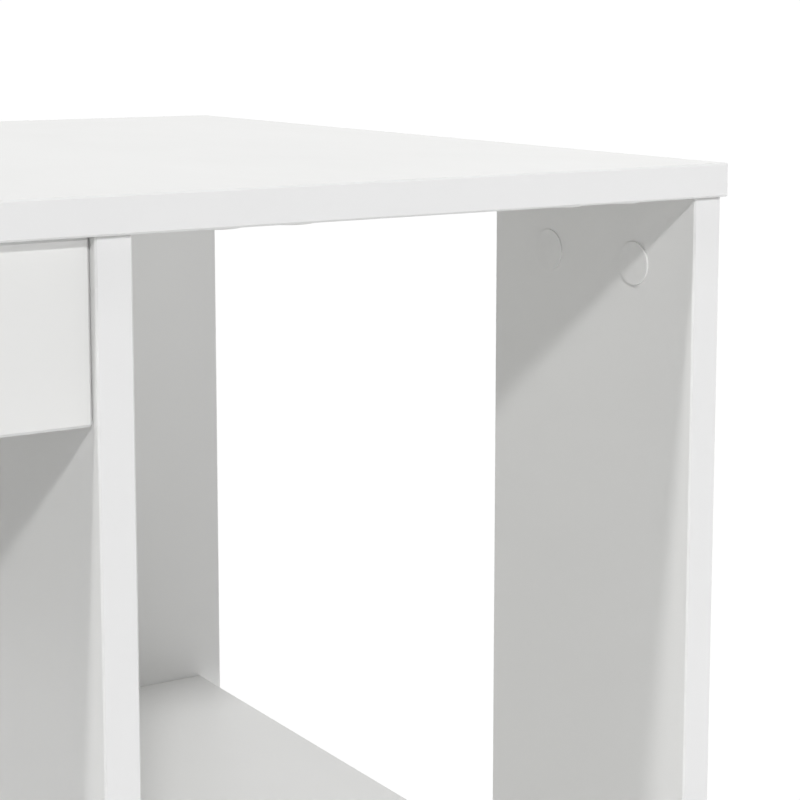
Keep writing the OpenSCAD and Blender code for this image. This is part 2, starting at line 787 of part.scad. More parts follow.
module drawer_back_screw_bores() {
    for (z = back_screw_zs) on_drawer_sides(box_y + drawer_box_d - drawer_side_t / 2, z)
        wood_screw_bore(back_screw_l, back_screw_r, back_screw_head_r);
}

module drawer_back_screws() {
    color(steel) for (z = back_screw_zs) on_drawer_sides(box_y + drawer_box_d - drawer_side_t / 2, z)
        translate([0, 0, -screw_sink])
            wood_screw(back_screw_l - end_clear, back_screw_r, back_screw_head_r);
}

// ---- Runners ----

// Puts children on a runner's side: local X runs from the cabinet's face towards
// the drawer. side is -1 at the hanger panel and 1 at the divider.
module runner_side(side) {
    if (side < 0) translate([bay_left, 0, 0]) children();
    else translate([divider_x, 0, 0]) mirror([1, 0, 0]) children();
}

module cabinet_runner(side) {
    color(runner_white) runner_side(side) difference() {
        union() {
            translate([0, runner_y, channel_z]) cube([sheet_t, runner_l, channel_h]);
            translate([0, runner_y, channel_z]) cube([channel_w, runner_l, sheet_t]);
            translate([0, runner_y, channel_z + channel_h - sheet_t]) cube([channel_w, runner_l, sheet_t]);
        }
        for (y = runner_screw_ys) translate([-1, y, axle_z]) rotate([0, 90, 0]) cylinder(h = 4, r = axle_r);
        translate([-1, front_axle_y, axle_z]) rotate([0, 90, 0]) cylinder(h = 4, r = rivet_hole_r);
    }
}

module left_cabinet_runner() {
    cabinet_runner(-1);
}

module right_cabinet_runner() {
    cabinet_runner(1);
}

// An angle that hugs the drawer side's lower edge, with a flange that rides on the
// cabinet's roller under the channel's upper lip
module drawer_runner(side) {
    color(runner_white) runner_side(side) difference() {
        union() {
            translate([runner_gap - sheet_t, box_y, side_z - sheet_t])
                cube([sheet_t, drawer_box_d, flange_z + sheet_t - side_z + sheet_t]);
            translate([flange_u, box_y, flange_z])
                cube([runner_gap - flange_u, drawer_box_d, sheet_t]);
            translate([runner_gap - sheet_t, box_y, side_z - sheet_t])
                cube([sheet_t + drawer_side_t - 2, drawer_box_d, sheet_t]);
        }
        for (y = runner_screw_ys) translate([runner_gap - 2, y, drawer_screw_z]) rotate([0, 90, 0])
            cylinder(h = 4, r = drawer_screw_r + 0.4);
        translate([runner_gap - 2, rear_axle_y, axle_z]) rotate([0, 90, 0])
            cylinder(h = 4, r = rivet_hole_r);
    }
}

module left_drawer_runner() {
    drawer_runner(-1);
}

module right_drawer_runner() {
    drawer_runner(1);
}

// A rivet: its tail fills the hole in the sheet, its shaft carries the roller and
// its head keeps the roller on
module cabinet_roller_axles() {
    color(steel) for (side = [-1, 1]) runner_side(side)
        translate([0, front_axle_y, axle_z]) rotate([0, 90, 0]) {
            cylinder(h = sheet_t, r = rivet_r);
            translate([0, 0, sheet_t]) cylinder(h = roller_u + roller_w - sheet_t + end_clear, r = axle_r);
            translate([0, 0, roller_u + roller_w + end_clear]) cylinder(h = axle_head_h, r = axle_head_r);
        }
}

module drawer_roller_axles() {
    color(steel) for (side = [-1, 1]) runner_side(side)
        translate([0, rear_axle_y, axle_z]) rotate([0, 90, 0]) {
            translate([0, 0, runner_gap - sheet_t]) cylinder(h = sheet_t, r = rivet_r);
            translate([0, 0, roller_u + axle_head_h])
                cylinder(h = runner_gap - sheet_t - roller_u - axle_head_h, r = axle_r);
            translate([0, 0, roller_u - 0.1]) cylinder(h = axle_head_h + 0.1, r = axle_head_r);
        }
}

// A nylon roller with a recess for its rivet's head on one face
module roller(side, y, head_at_cabinet) {
    color(nylon) runner_side(side) translate([roller_u, y, axle_z]) rotate([0, 90, 0]) difference() {
        union() {
            cylinder(h = roller_edge, r1 = roller_r - roller_edge, r2 = roller_r);
            translate([0, 0, roller_edge]) cylinder(h = roller_w - 2 * roller_edge, r = roller_r);
            translate([0, 0, roller_w - roller_edge])
                cylinder(h = roller_edge, r1 = roller_r, r2 = roller_r - roller_edge);
        }
        translate([0, 0, -1]) cylinder(h = roller_w + 2, r = axle_r + axle_clear);
        if (head_at_cabinet) translate([0, 0, -1]) cylinder(h = 1 + head_recess_h, r = head_recess_r);
    }
}

module left_cabinet_roller() {
    roller(-1, front_axle_y, false);
}

module right_cabinet_roller() {
    roller(1, front_axle_y, false);
}

module left_drawer_roller() {
    roller(-1, rear_axle_y, true);
}

module right_drawer_roller() {
    roller(1, rear_axle_y, true);
}

module runner_screw_bores(side) {
    runner_side(side) for (y = runner_screw_ys) translate([-runner_screw_l - end_clear, y, axle_z])
        rotate([0, 90, 0]) cylinder(h = runner_screw_l + 1, r = runner_screw_r + 0.1);
}

module cabinet_runner_screws() {
    color(steel) for (side = [-1, 1], y = runner_screw_ys) runner_side(side)
        translate([0, y, axle_z]) rotate([0, 90, 0]) {
            translate([0, 0, -runner_screw_l]) cylinder(h = runner_screw_l + sheet_t, r = runner_screw_r);
            translate([0, 0, sheet_t]) cylinder(h = runner_screw_head_h, r = runner_screw_head_r);
        }
}

module drawer_runner_screw_bores() {
    for (y = runner_screw_ys) on_drawer_sides(y, drawer_screw_z)
        translate([0, 0, -drawer_screw_l - end_clear])
            cylinder(h = drawer_screw_l + 1, r = drawer_screw_r + 0.1);
}

module drawer_runner_screws() {
    color(steel) for (y = runner_screw_ys) on_drawer_sides(y, drawer_screw_z) {
        translate([0, 0, -drawer_screw_l]) cylinder(h = drawer_screw_l + sheet_t, r = drawer_screw_r);
        translate([0, 0, sheet_t]) cylinder(h = drawer_screw_head_h, r = drawer_screw_head_r);
    }
}

main_top();
return_top();
right_leg_panel();
divider_panel();
right_back_panel();
right_mid_shelf();
right_bottom_shelf();
left_side_panel();
modesty_panel();
drawer_hanger_panel();
return_front_gable();
return_rear_gable();
return_back_panel();
return_mid_shelf();
return_bottom_shelf();
cam_locks();
cam_bolts();
cam_cover_caps();
spare_hole_plugs();
dowels();
back_panel_screws();
floor_glides();
drawer_front();
drawer_left_side();
drawer_right_side();
drawer_back();
drawer_bottom();
drawer_cam_locks();
drawer_cam_bolts();
drawer_dowels();
drawer_back_screws();
left_cabinet_runner();
right_cabinet_runner();
left_drawer_runner();
right_drawer_runner();
cabinet_roller_axles();
drawer_roller_axles();
left_cabinet_roller();
right_cabinet_roller();
left_drawer_roller();
right_drawer_roller();
cabinet_runner_screws();
drawer_runner_screws();
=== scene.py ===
"""Looks of the corner desk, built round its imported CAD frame.

The boards keep their CAD meshes and get a laminate finish that tells the broad
faces, the edge bands and the arrises apart. The turned and pressed small parts
(cover caps, hole plugs, floor glides, rollers, screws, runners) are new surfaces
with the rounded rims, bends and driver recesses that their CAD solids leave out.
"""

import logging
import math
from dataclasses import dataclass
from enum import Enum
from typing import Any, Sequence

import bpy
import numpy as np
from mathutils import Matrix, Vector

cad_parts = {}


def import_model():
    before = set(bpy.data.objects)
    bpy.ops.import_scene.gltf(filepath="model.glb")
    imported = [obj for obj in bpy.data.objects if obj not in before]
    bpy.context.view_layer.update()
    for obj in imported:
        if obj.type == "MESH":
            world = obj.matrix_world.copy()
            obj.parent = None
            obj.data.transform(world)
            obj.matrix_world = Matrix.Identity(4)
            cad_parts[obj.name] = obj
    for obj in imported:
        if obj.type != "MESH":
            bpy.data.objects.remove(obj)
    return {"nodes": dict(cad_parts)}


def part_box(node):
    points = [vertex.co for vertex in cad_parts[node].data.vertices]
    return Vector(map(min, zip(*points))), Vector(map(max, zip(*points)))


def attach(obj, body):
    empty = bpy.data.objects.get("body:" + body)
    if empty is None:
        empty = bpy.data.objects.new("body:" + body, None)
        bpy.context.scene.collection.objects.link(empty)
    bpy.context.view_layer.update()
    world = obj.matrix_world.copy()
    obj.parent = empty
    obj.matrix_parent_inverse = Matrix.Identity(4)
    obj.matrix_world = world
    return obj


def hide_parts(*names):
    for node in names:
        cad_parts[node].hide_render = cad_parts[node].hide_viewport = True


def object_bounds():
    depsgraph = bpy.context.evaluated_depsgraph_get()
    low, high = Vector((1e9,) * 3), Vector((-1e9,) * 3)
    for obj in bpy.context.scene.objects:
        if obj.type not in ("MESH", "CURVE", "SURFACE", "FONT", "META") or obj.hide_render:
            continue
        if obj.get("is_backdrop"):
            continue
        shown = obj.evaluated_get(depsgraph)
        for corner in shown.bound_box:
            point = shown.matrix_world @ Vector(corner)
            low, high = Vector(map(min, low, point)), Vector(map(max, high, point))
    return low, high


LOG = logging.getLogger("corner_desk")
MM = 0.001
Colour = tuple[float, float, float]


class Axis(Enum):
    """One of the frame's three directions."""

    X = 0
    Y = 1
    Z = 2


class Slot(Enum):
    """The record's material slots."""

    LAMINATE = "white_melamine"
    CAP = "cap_plastic"
    ZINC = "zinc"
    STEEL = "plated_steel"
    BEECH = "beech"
    HARDBOARD = "hardboard"
    NYLON = "nylon"
    ENAMEL = "runner_enamel"


# ---- Finishes ----


class Graph:
    """Builds one material's node tree, one plainly named step at a time."""

    def __init__(self, name: str) -> None:
        """Starts an empty node tree with an output and a Principled shader."""
        self.material = bpy.data.materials.new(name)
        self.material.use_nodes = True
        self.tree = self.material.node_tree
        self.tree.nodes.clear()
        self.shader = self.add("ShaderNodeBsdfPrincipled")
        output = self.add("ShaderNodeOutputMaterial")
        self.tree.links.new(self.shader.outputs["BSDF"], output.inputs["Surface"])
        self.coordinates = self.add("ShaderNodeTexCoord")

    def add(self, kind: str, **settings: Any) -> bpy.types.Node:
        """Adds a node.

        Args:
            kind: The node's type name.
            **settings: Properties to set on the node.

        Returns:
            The new node.
        """
        node = self.tree.nodes.new(kind)
        for key, value in settings.items():
            setattr(node, key, value)
        return node

    def feed(self, socket: bpy.types.NodeSocket, value: Any) -> None:
        """Links value to socket if it is an output, and sets it otherwise.

        Args:
            socket: The input to feed.
            value: An output socket, a number or a tuple.
        """
        if isinstance(value, bpy.types.NodeSocket):
            self.tree.links.new(value, socket)
        else:
            socket.default_value = value

    @property
    def place(self) -> bpy.types.NodeSocket:
        """The point's place in the frame, in metres."""
        return self.coordinates.outputs["Object"]

    def stretched(self, scale: Colour) -> bpy.types.NodeSocket:
        """The point's place with each axis multiplied by its own factor."""
        mapping = self.add("ShaderNodeMapping")
        self.feed(mapping.inputs["Vector"], self.place)
        mapping.inputs["Scale"].default_value = scale
        return mapping.outputs["Vector"]

    def noise(
        self,
        scale: float,
        detail: float = 2.0,
        roughness: float = 0.5,
        vector: bpy.types.NodeSocket | None = None,
        distortion: float = 0.0,
    ) -> bpy.types.NodeSocket:
        """Adds fractal noise.

        Args:
            scale: Features per metre.
            detail: Number of octaves.
            roughness: Weight of the finer octaves.
            vector: Where to read it; the point's place if left out.
            distortion: How far the pattern is warped.

        Returns:
            The noise value, about 0 to 1.
        """
        node = self.add("ShaderNodeTexNoise")
        self.feed(node.inputs["Vector"], vector or self.place)
        node.inputs["Scale"].default_value = scale
        node.inputs["Detail"].default_value = detail
        node.inputs["Roughness"].default_value = roughness
        node.inputs["Distortion"].default_value = distortion
        return node.outputs["Fac"]

    def calc(self, operation: str, a: Any, b: Any = 0.0) -> bpy.types.NodeSocket:
        """Adds a Math node.

        Args:
            operation: The node's operation.
            a: First operand, a socket or a number.
            b: Second operand, a socket or a number.

        Returns:
            The result's socket.
        """
        node = self.add("ShaderNodeMath", operation=operation)
        self.feed(node.inputs[0], a)
        self.feed(node.inputs[1], b)
        return node.outputs[0]

    def remap(
        self,
        value: bpy.types.NodeSocket,
        source: tuple[float, float],
        target: tuple[float, float],
        smooth: bool = False,
    ) -> bpy.types.NodeSocket:
        """Maps a range of values onto another and clamps the result.

        Args:
            value: The value to map.
            source: Lowest and highest value that come in.
            target: What those two become.
            smooth: True for an eased curve between them.

        Returns:
            The mapped value's socket.
        """
        kind = "SMOOTHSTEP" if smooth else "LINEAR"
        node = self.add("ShaderNodeMapRange", interpolation_type=kind)
        self.feed(node.inputs["Value"], value)
        for name, number in zip(
            ("From Min", "From Max", "To Min", "To Max"), (*source, *target)
        ):
            node.inputs[name].default_value = number
        return node.outputs["Result"]

    def blend(
        self, factor: Any, first: Any, second: Any, kind: str = "MIX"
    ) -> bpy.types.NodeSocket:
        """Mixes two colours.

        Args:
            factor: Share of the second colour.
            first: First colour, a socket or an RGB tuple.
            second: Second colour, a socket or an RGB tuple.
            kind: The node's blend type.

        Returns:
            The mixed colour's socket.
        """
        node = self.add("ShaderNodeMix", data_type="RGBA", blend_type=kind)
        self.feed(node.inputs["Factor"], factor)
        inputs = [s for s in node.inputs if s.type == "RGBA"]
        for socket, colour in zip(inputs, (first, second)):
            self.feed(socket, (*colour, 1.0) if isinstance(colour, tuple) else colour)
        return [s for s in node.outputs if s.type == "RGBA"][0]

    def raise_by(self, height: bpy.types.NodeSocket, depth: float) -> None:
        """Adds a relief to the surface's normal, on top of what is there.

        Args:
            height: Relief, 0 to 1.
            depth: Real height of the relief in metres.
        """
        node = self.add("ShaderNodeBump")
        node.inputs["Distance"].default_value = depth
        self.feed(node.inputs["Height"], height)
        normal = self.shader.inputs["Normal"]
        if normal.is_linked:
            self.feed(node.inputs["Normal"], normal.links[0].from_socket)
        self.feed(normal, node.outputs["Normal"])

    def steepness(self) -> tuple[list[bpy.types.NodeSocket], bpy.types.NodeSocket]:
        """Measures which way the surface faces.

        Returns:
            The sizes of the normal's three parts, and the largest of them.
        """
        split = self.add("ShaderNodeSeparateXYZ")
        self.feed(split.inputs[0], self.coordinates.outputs["Normal"])
        parts = [self.calc("ABSOLUTE", split.outputs[i]) for i in range(3)]
        return parts, self.calc("MAXIMUM", self.calc("MAXIMUM", *parts[:2]), parts[2])


@dataclass(frozen=True)
class Laminate:
    """White melamine film on chipboard, with bands glued to the edges."""

    face_axis: Axis
    film: Colour = (0.80, 0.80, 0.79)
    band: Colour = (0.806, 0.806, 0.806)
    seam: Colour = (0.765, 0.765, 0.76)
    film_gloss: float = 0.44
    band_gloss: float = 0.38
    pebble: float = 0.012 * MM
    wave: float = 0.008 * MM

    def make(self) -> bpy.types.Material:
        """Builds the material.

        The film has a fine pebble relief, a faint cloud in its white and traces
        of wiping in its gloss. The bands are smoother. The arrises between them
        show the joint as a slightly duller line that is rubbed here and there.

        Returns:
            The finished material.
        """
        g = Graph(f"laminate_{self.face_axis.name.lower()}")
        parts, largest = g.steepness()
        on_face = g.remap(parts[self.face_axis.value], (0.86, 0.97), (0.0, 1.0))
        on_arris = g.remap(largest, (0.985, 0.90), (0.0, 1.0))
        grit = g.noise(1500.0, 3.0, 0.6)
        cloud = g.noise(6.0, 2.0, 0.5)
        wipe = g.noise(22.0, 4.0, 0.65, g.stretched((1.0, 0.35, 1.0)), 0.6)
        colour = g.blend(on_face, self.band, self.film)
        tint = g.remap(cloud, (0.3, 0.7), (0.0, 1.0), True)
        colour = g.blend(tint, colour, g.blend(1.0, colour, (0.986, 0.986, 0.986), "MULTIPLY"))
        speck = g.remap(grit, (0.62, 0.72), (0.0, 0.35))
        colour = g.blend(speck, colour, g.blend(1.0, colour, (0.965, 0.965, 0.965), "MULTIPLY"))
        rub = g.remap(g.noise(85.0, 3.0, 0.6), (0.45, 0.62), (0.35, 1.0))
        worn = g.calc("MULTIPLY", on_arris, rub)
        colour = g.blend(worn, colour, self.seam)
        g.feed(g.shader.inputs["Base Color"], colour)
        gloss = g.calc("ADD", g.remap(wipe, (0.3, 0.7), (-0.035, 0.035)), self.film_gloss)
        on_band = g.calc("SUBTRACT", 1.0, on_face)
        smoother = g.calc("MULTIPLY", on_band, self.film_gloss - self.band_gloss)
        gloss = g.calc("SUBTRACT", gloss, smoother)
        g.feed(g.shader.inputs["Roughness"], g.calc("ADD", gloss, g.calc("MULTIPLY", worn, 0.08)))
        g.shader.inputs["Specular IOR Level"].default_value = 0.35
        relief = g.calc("MULTIPLY", grit, g.remap(on_face, (0.0, 1.0), (0.35, 1.0)))
        g.raise_by(relief, self.pebble)
        g.raise_by(g.noise(70.0, 2.0, 0.5), self.wave)
        return g.material


@dataclass(frozen=True)
class Moulded:
    """Injection-moulded plastic with a spark-eroded surface."""

    name: str
    colour: Colour
    gloss: float
    glow: float = 0.0
    texture: float = 2600.0

    def make(self) -> bpy.types.Material:
        """Builds the material: fine erosion texture, flow clouds and handling marks.

        Returns:
            The finished material.
        """
        g = Graph(self.name)
        flow = g.remap(g.noise(140.0, 3.0, 0.5, distortion=0.8), (0.3, 0.7), (0.0, 1.0), True)
        shade = tuple(c * 0.982 for c in self.colour)
        g.feed(g.shader.inputs["Base Color"], g.blend(flow, self.colour, shade))
        marks = g.noise(420.0, 4.0, 0.7)
        rough = g.remap(marks, (0.25, 0.75), (self.gloss - 0.05, self.gloss + 0.06))
        g.feed(g.shader.inputs["Roughness"], rough)
        g.shader.inputs["Specular IOR Level"].default_value = 0.4
        if self.glow:
            g.shader.inputs["Subsurface Weight"].default_value = self.glow
            g.shader.inputs["Subsurface Radius"].default_value = (0.9, 0.85, 0.8)
            g.shader.inputs["Subsurface Scale"].default_value = 0.0012
        g.raise_by(g.noise(self.texture, 2.0, 0.6), 0.015 * MM)
        return g.material


@dataclass(frozen=True)
class Metal:
    """Bare or plated metal: tarnish clouds, and either casting grain or draw marks."""

    name: str
    colour: Colour
    dull: Colour
    gloss: float
    drawn: bool = False

    def make(self) -> bpy.types.Material:
        """Builds the material.

        Returns:
            The finished material.
        """
        g = Graph(self.name)
        cloud = g.remap(g.noise(180.0, 4.0, 0.6, distortion=0.5), (0.35, 0.7), (0.0, 1.0), True)
        g.feed(g.shader.inputs["Base Color"], g.blend(cloud, self.colour, self.dull))
        g.shader.inputs["Metallic"].default_value = 1.0
        marks = g.stretched((60.0, 4000.0, 4000.0)) if self.drawn else None
        grain = g.noise(1.0 if self.drawn else 1900.0, 3.0, 0.6, marks)
        rough = g.remap(grain, (0.2, 0.8), (self.gloss - 0.08, self.gloss + 0.1))
        g.feed(g.shader.inputs["Roughness"], rough)
        g.raise_by(grain, (0.010 if self.drawn else 0.028) * MM)
        return g.material


@dataclass(frozen=True)
class Beech:
    """Raw turned beech: fine growth lines and short dark flecks."""

    light: Colour = (0.62, 0.44, 0.26)
    dark: Colour = (0.50, 0.33, 0.18)
    fleck: Colour = (0.34, 0.21, 0.11)

    def make(self) -> bpy.types.Material:
        """Builds the material.

        Returns:
            The finished material.
        """
        g = Graph("beech")
        lines = g.noise(1.0, 3.0, 0.6, g.stretched((900.0, 900.0, 70.0)), 0.4)
        colour = g.blend(g.remap(lines, (0.3, 0.7), (0.0, 1.0)), self.light, self.dark)
        flecks = g.noise(1.0, 1.0, 0.5, g.stretched((2600.0, 2600.0, 320.0)))
        colour = g.blend(g.remap(flecks, (0.66, 0.74), (0.0, 0.6)), colour, self.fleck)
        g.feed(g.shader.inputs["Base Color"], colour)
        g.feed(g.shader.inputs["Roughness"], g.remap(lines, (0.2, 0.8), (0.62, 0.78)))
        g.raise_by(lines, 0.06 * MM)
        return g.material


@dataclass(frozen=True)
class Hardboard:
    """Thin hardboard: lacquered white on both faces, raw brown fibre at the edges."""

    lacquer: Colour = (0.77, 0.77, 0.76)
    fibre: Colour = (0.36, 0.22, 0.12)

    def make(self) -> bpy.types.Material:
        """Builds the material.

        Returns:
            The finished material.
        """
        g = Graph("hardboard")
        split = g.add("ShaderNodeSeparateXYZ")
        g.feed(split.inputs[0], g.coordinates.outputs["Normal"])
        on_face = g.remap(g.calc("ABSOLUTE", split.outputs[2]), (0.4, 0.6), (0.0, 1.0))
        felt = g.noise(700.0, 5.0, 0.7, distortion=1.2)
        dark_fibre = tuple(c * 0.62 for c in self.fibre)
        raw = g.blend(g.remap(felt, (0.3, 0.7), (0.0, 1.0)), self.fibre, dark_fibre)
        cloud = g.remap(g.noise(12.0, 3.0), (0.3, 0.7), (0.0, 1.0))
        coat = g.blend(cloud, self.lacquer, tuple(c * 0.98 for c in self.lacquer))
        g.feed(g.shader.inputs["Base Color"], g.blend(on_face, raw, coat))
        g.feed(g.shader.inputs["Roughness"], g.remap(on_face, (0.0, 1.0), (0.85, 0.4)))
        g.raise_by(felt, 0.05 * MM)
        return g.material


@dataclass(frozen=True)
class Enamel:
    """Baked white enamel on rolled steel sheet, with its orange-peel flow."""

    colour: Colour = (0.76, 0.76, 0.75)
    rubbed: Colour = (0.60, 0.60, 0.60)

    def make(self) -> bpy.types.Material:
        """Builds the material.

        Returns:
            The finished material.
        """
        g = Graph("runner_enamel")
        peel = g.noise(520.0, 2.0, 0.45)
        streaks = g.noise(1.0, 3.0, 0.6, g.stretched((900.0, 6.0, 900.0)))
        rub = g.remap(streaks, (0.58, 0.72), (0.0, 0.4))
        g.feed(g.shader.inputs["Base Color"], g.blend(rub, self.colour, self.rubbed))
        g.feed(g.shader.inputs["Roughness"], g.remap(peel, (0.3, 0.7), (0.26, 0.36)))
        g.shader.inputs["Coat Weight"].default_value = 0.3
        g.shader.inputs["Coat Roughness"].default_value = 0.15
        g.raise_by(peel, 0.03 * MM)
        return g.material


# ---- Surfaces ----


@dataclass(frozen=True)
class Surface:
    """A closed mesh as arrays: points, the faces' corners in a row, and corners per face."""

    points: np.ndarray
    corners: np.ndarray
    counts: np.ndarray

    def repeated(self, frames: np.ndarray) -> "Surface":
        """Copies the surface to several places.

        Args:
            frames: K x 4 x 4 matrices that turn and move the shape.

        Returns:
            All the copies as one surface.
        """
        k, n = len(frames), len(self.points)
        moved = np.einsum("kij,nj->kni", frames[:, :3, :3], self.points)
        moved += frames[:, None, :3, 3]
        offsets = np.repeat(np.arange(k) * n, len(self.corners))
        return Surface(
            moved.reshape(-1, 3),
            np.tile(self.corners, k) + offsets,
            np.tile(self.counts, k),
        )

    def build(
        self, name: str, material: bpy.types.Material, crease: float = 38.0
    ) -> bpy.types.Object:
        """Makes a Blender object of the surface, at the origin and unturned.

        Args:
            name: The object's name.
            material: Its finish.
            crease: Angle in degrees above which an edge stays sharp.

        Returns:
            The new object.
        """
        mesh = bpy.data.meshes.new(name)
        mesh.vertices.add(len(self.points))
        mesh.vertices.foreach_set("co", self.points.astype(np.float32).ravel())
        mesh.loops.add(len(self.corners))
        mesh.loops.foreach_set("vertex_index", self.corners.astype(np.int32))
        mesh.polygons.add(len(self.counts))
        starts = np.concatenate(([0], np.cumsum(self.counts)[:-1]))
        mesh.polygons.foreach_set("loop_start", starts.astype(np.int32))
        mesh.polygons.foreach_set("loop_total", self.counts.astype(np.int32))
        mesh.polygons.foreach_set("use_smooth", np.ones(len(self.counts), bool))
        mesh.update(calc_edges=True)
        mesh.validate()
        mesh.set_sharp_from_angle(angle=math.radians(crease))
        mesh.materials.append(material)
        made = bpy.data.objects.new(name, mesh)
        bpy.context.scene.collection.objects.link(made)
        return made


def rounded(
    centre: tuple[float, float], radius: float, start: float, end: float, steps: int = 6
) -> np.ndarray:
    """Points on an arc: centre + radius (cos a, sin a), with a from start to end.

    Args:
        centre: The arc's centre, (r, z).
        radius: The arc's radius.
        start: First angle in degrees.
        end: Last angle in degrees.
        steps: Number of intervals.

    Returns:
        A (steps + 1) x 2 array.
    """
    a = np.radians(np.linspace(start, end, steps + 1))
    return np.column_stack((centre[0] + radius * np.cos(a), centre[1] + radius * np.sin(a)))


def turned(profile: np.ndarray, segments: int = 48) -> Surface:
    """Turns a profile round the Z axis: (r cos t, r sin t, z), t round the full circle.

    The profile runs counterclockwise in the (r, z) half plane, from the axis back to
    the axis, so its faces point outwards. Each end on the axis is a single pole.

    Args:
        profile: P x 2 array of (r, z), whose first and last r are 0.
        segments: Number of steps round the axis.

    Returns:
        The closed surface.
    """
    rings = profile[1:-1]
    t = np.linspace(0.0, 2.0 * np.pi, segments, endpoint=False)
    x = rings[:, :1] * np.cos(t)
    y = rings[:, :1] * np.sin(t)
    z = np.broadcast_to(rings[:, 1:], x.shape)
    body = np.stack((x, y, z), axis=-1).reshape(-1, 3)
    poles = np.array([[0.0, 0.0, profile[0, 1]], [0.0, 0.0, profile[-1, 1]]])
    here = np.arange(segments)
    after = (here + 1) % segments
    row = (np.arange(len(rings) - 1) * segments)[:, None]
    quads = np.stack((row + here, row + after, row + segments + after, row + segments + here), -1)
    first = len(body)
    top = (len(rings) - 1) * segments
    low_fan = np.stack((after, here, np.full(segments, first)), -1)
    high_fan = np.stack((top + here, top + after, np.full(segments, first + 1)), -1)
    return Surface(
        np.concatenate((body, poles)),
        np.concatenate((quads.ravel(), low_fan.ravel(), high_fan.ravel())),
        np.concatenate((np.full(quads[..., 0].size, 4), np.full(2 * segments, 3))),
    )


def turned_ring(loop: np.ndarray, segments: int = 64) -> Surface:
    """Turns a closed loop round the Z axis into a ring: (r cos t, r sin t, z).

    Args:
        loop: P x 2 array of (r, z), counterclockwise, not repeated at the end.
        segments: Number of steps round the axis.

    Returns:
        The closed ring.
    """
    t = np.linspace(0.0, 2.0 * np.pi, segments, endpoint=False)
    x = loop[:, :1] * np.cos(t)
    y = loop[:, :1] * np.sin(t)
    z = np.broadcast_to(loop[:, 1:], x.shape)
    here = np.arange(segments)
    after = (here + 1) % segments
    row = (np.arange(len(loop)) * segments)[:, None]
    up = (row + segments) % (len(loop) * segments)
    quads = np.stack((row + here, row + after, up + after, up + here), -1)
    return Surface(
        np.stack((x, y, z), axis=-1).reshape(-1, 3),
        quads.ravel(),
        np.full(quads[..., 0].size, 4),
    )


def swept(section: np.ndarray, start: float, end: float, steps: int = 24) -> Surface:
    """Carries a closed section along Y: (u, start + s (end - start), v), s from 0 to 1.

    Args:
        section: P x 2 array of (x, z), counterclockwise seen from -Y.
        start: Y of the first end.
        end: Y of the second end.
        steps: Number of intervals along the way.

    Returns:
        The bar, closed by a flat face at each end.
    """
    p = len(section)
    ys = np.linspace(start, end, steps + 1)
    points = np.empty((steps + 1, p, 3))
    points[..., 0] = section[:, 0]
    points[..., 1] = ys[:, None]
    points[..., 2] = section[:, 1]
    here = np.arange(p)
    after = (here + 1) % p
    row = (np.arange(steps) * p)[:, None]
    quads = np.stack((row + here, row + p + here, row + p + after, row + after), -1)
    return Surface(
        points.reshape(-1, 3),
        np.concatenate((quads.ravel(), here, (steps * p + here)[::-1])),
        np.concatenate((np.full(quads[..., 0].size, 4), [p, p])),
    )


def rolled(path: Sequence[tuple[float, float]], gauge: float, bend: float) -> np.ndarray:
    """Section of a folded sheet: a path with its corners rounded, given a thickness.

    Each corner becomes an arc of the bend's middle radius, tangent to both legs. The
    two faces lie half a gauge to either side of that line, along its normals.

    Args:
        path: The corners of the sheet's middle line, (x, z).
        gauge: Sheet thickness.
        bend: Inside radius of each fold.

    Returns:
        The closed section, counterclockwise.
    """
    corners = np.array(path, float)
    radius = bend + gauge / 2
    pieces = [corners[:1]]
    for before, at, after in zip(corners[:-2], corners[1:-1], corners[2:]):
        a = (before - at) / np.linalg.norm(before - at)
        b = (after - at) / np.linalg.norm(after - at)
        half = math.acos(float(np.clip(a @ b, -1, 1))) / 2
        middle = at + (a + b) / np.linalg.norm(a + b) * radius / math.sin(half)
        near = at + a * radius / math.tan(half) - middle
        far = at + b * radius / math.tan(half) - middle
        s = np.linspace(0.0, 1.0, 6)[:, None]
        sweep = math.pi - 2 * half
        arc = (near * np.sin((1 - s) * sweep) + far * np.sin(s * sweep)) / math.sin(sweep)
        pieces.append(middle + arc)
    pieces.append(corners[-1:])
    line = np.concatenate(pieces)
    along = np.gradient(line, axis=0)
    along /= np.linalg.norm(along, axis=1)[:, None]
    normal = np.column_stack((-along[:, 1], along[:, 0]))
    section = np.concatenate((line + normal * gauge / 2, (line - normal * gauge / 2)[::-1]))
    x, z = section.T
    area = np.sum(x * np.roll(z, -1) - np.roll(x, -1) * z)
    return section if area > 0 else section[::-1]


# ---- Reading the frame ----


def solids_of(node: bpy.types.Object) -> list[np.ndarray]:
    """Splits a node's mesh into its separate solids.

    Equal corners are welded, and each triangle's corners take the lowest label
    among them, over and over, until every solid has one label.

    Args:
        node: A CAD node's object.

    Returns:
        One array of points for each solid.
    """
    mesh = node.data
    mesh.calc_loop_triangles()
    co = np.empty(len(mesh.vertices) * 3)
    mesh.vertices.foreach_get("co", co)
    tris = np.empty(len(mesh.loop_triangles) * 3, np.int64)
    mesh.loop_triangles.foreach_get("vertices", tris)
    _, first, weld = np.unique(
        np.round(co.reshape(-1, 3) * 1e5).astype(np.int64),
        axis=0,
        return_index=True,
        return_inverse=True,
    )
    corners = weld.ravel()[tris].reshape(-1, 3)
    label = np.arange(len(first))
    while True:
        lowest = label[corners].min(axis=1)
        fresh = label.copy()
        np.minimum.at(fresh, corners, lowest[:, None])
        fresh = fresh[fresh]
        if np.array_equal(fresh, label):
            break
        label = fresh
    points = co.reshape(-1, 3)[first]
    return [points[label == value] for value in np.unique(label)]


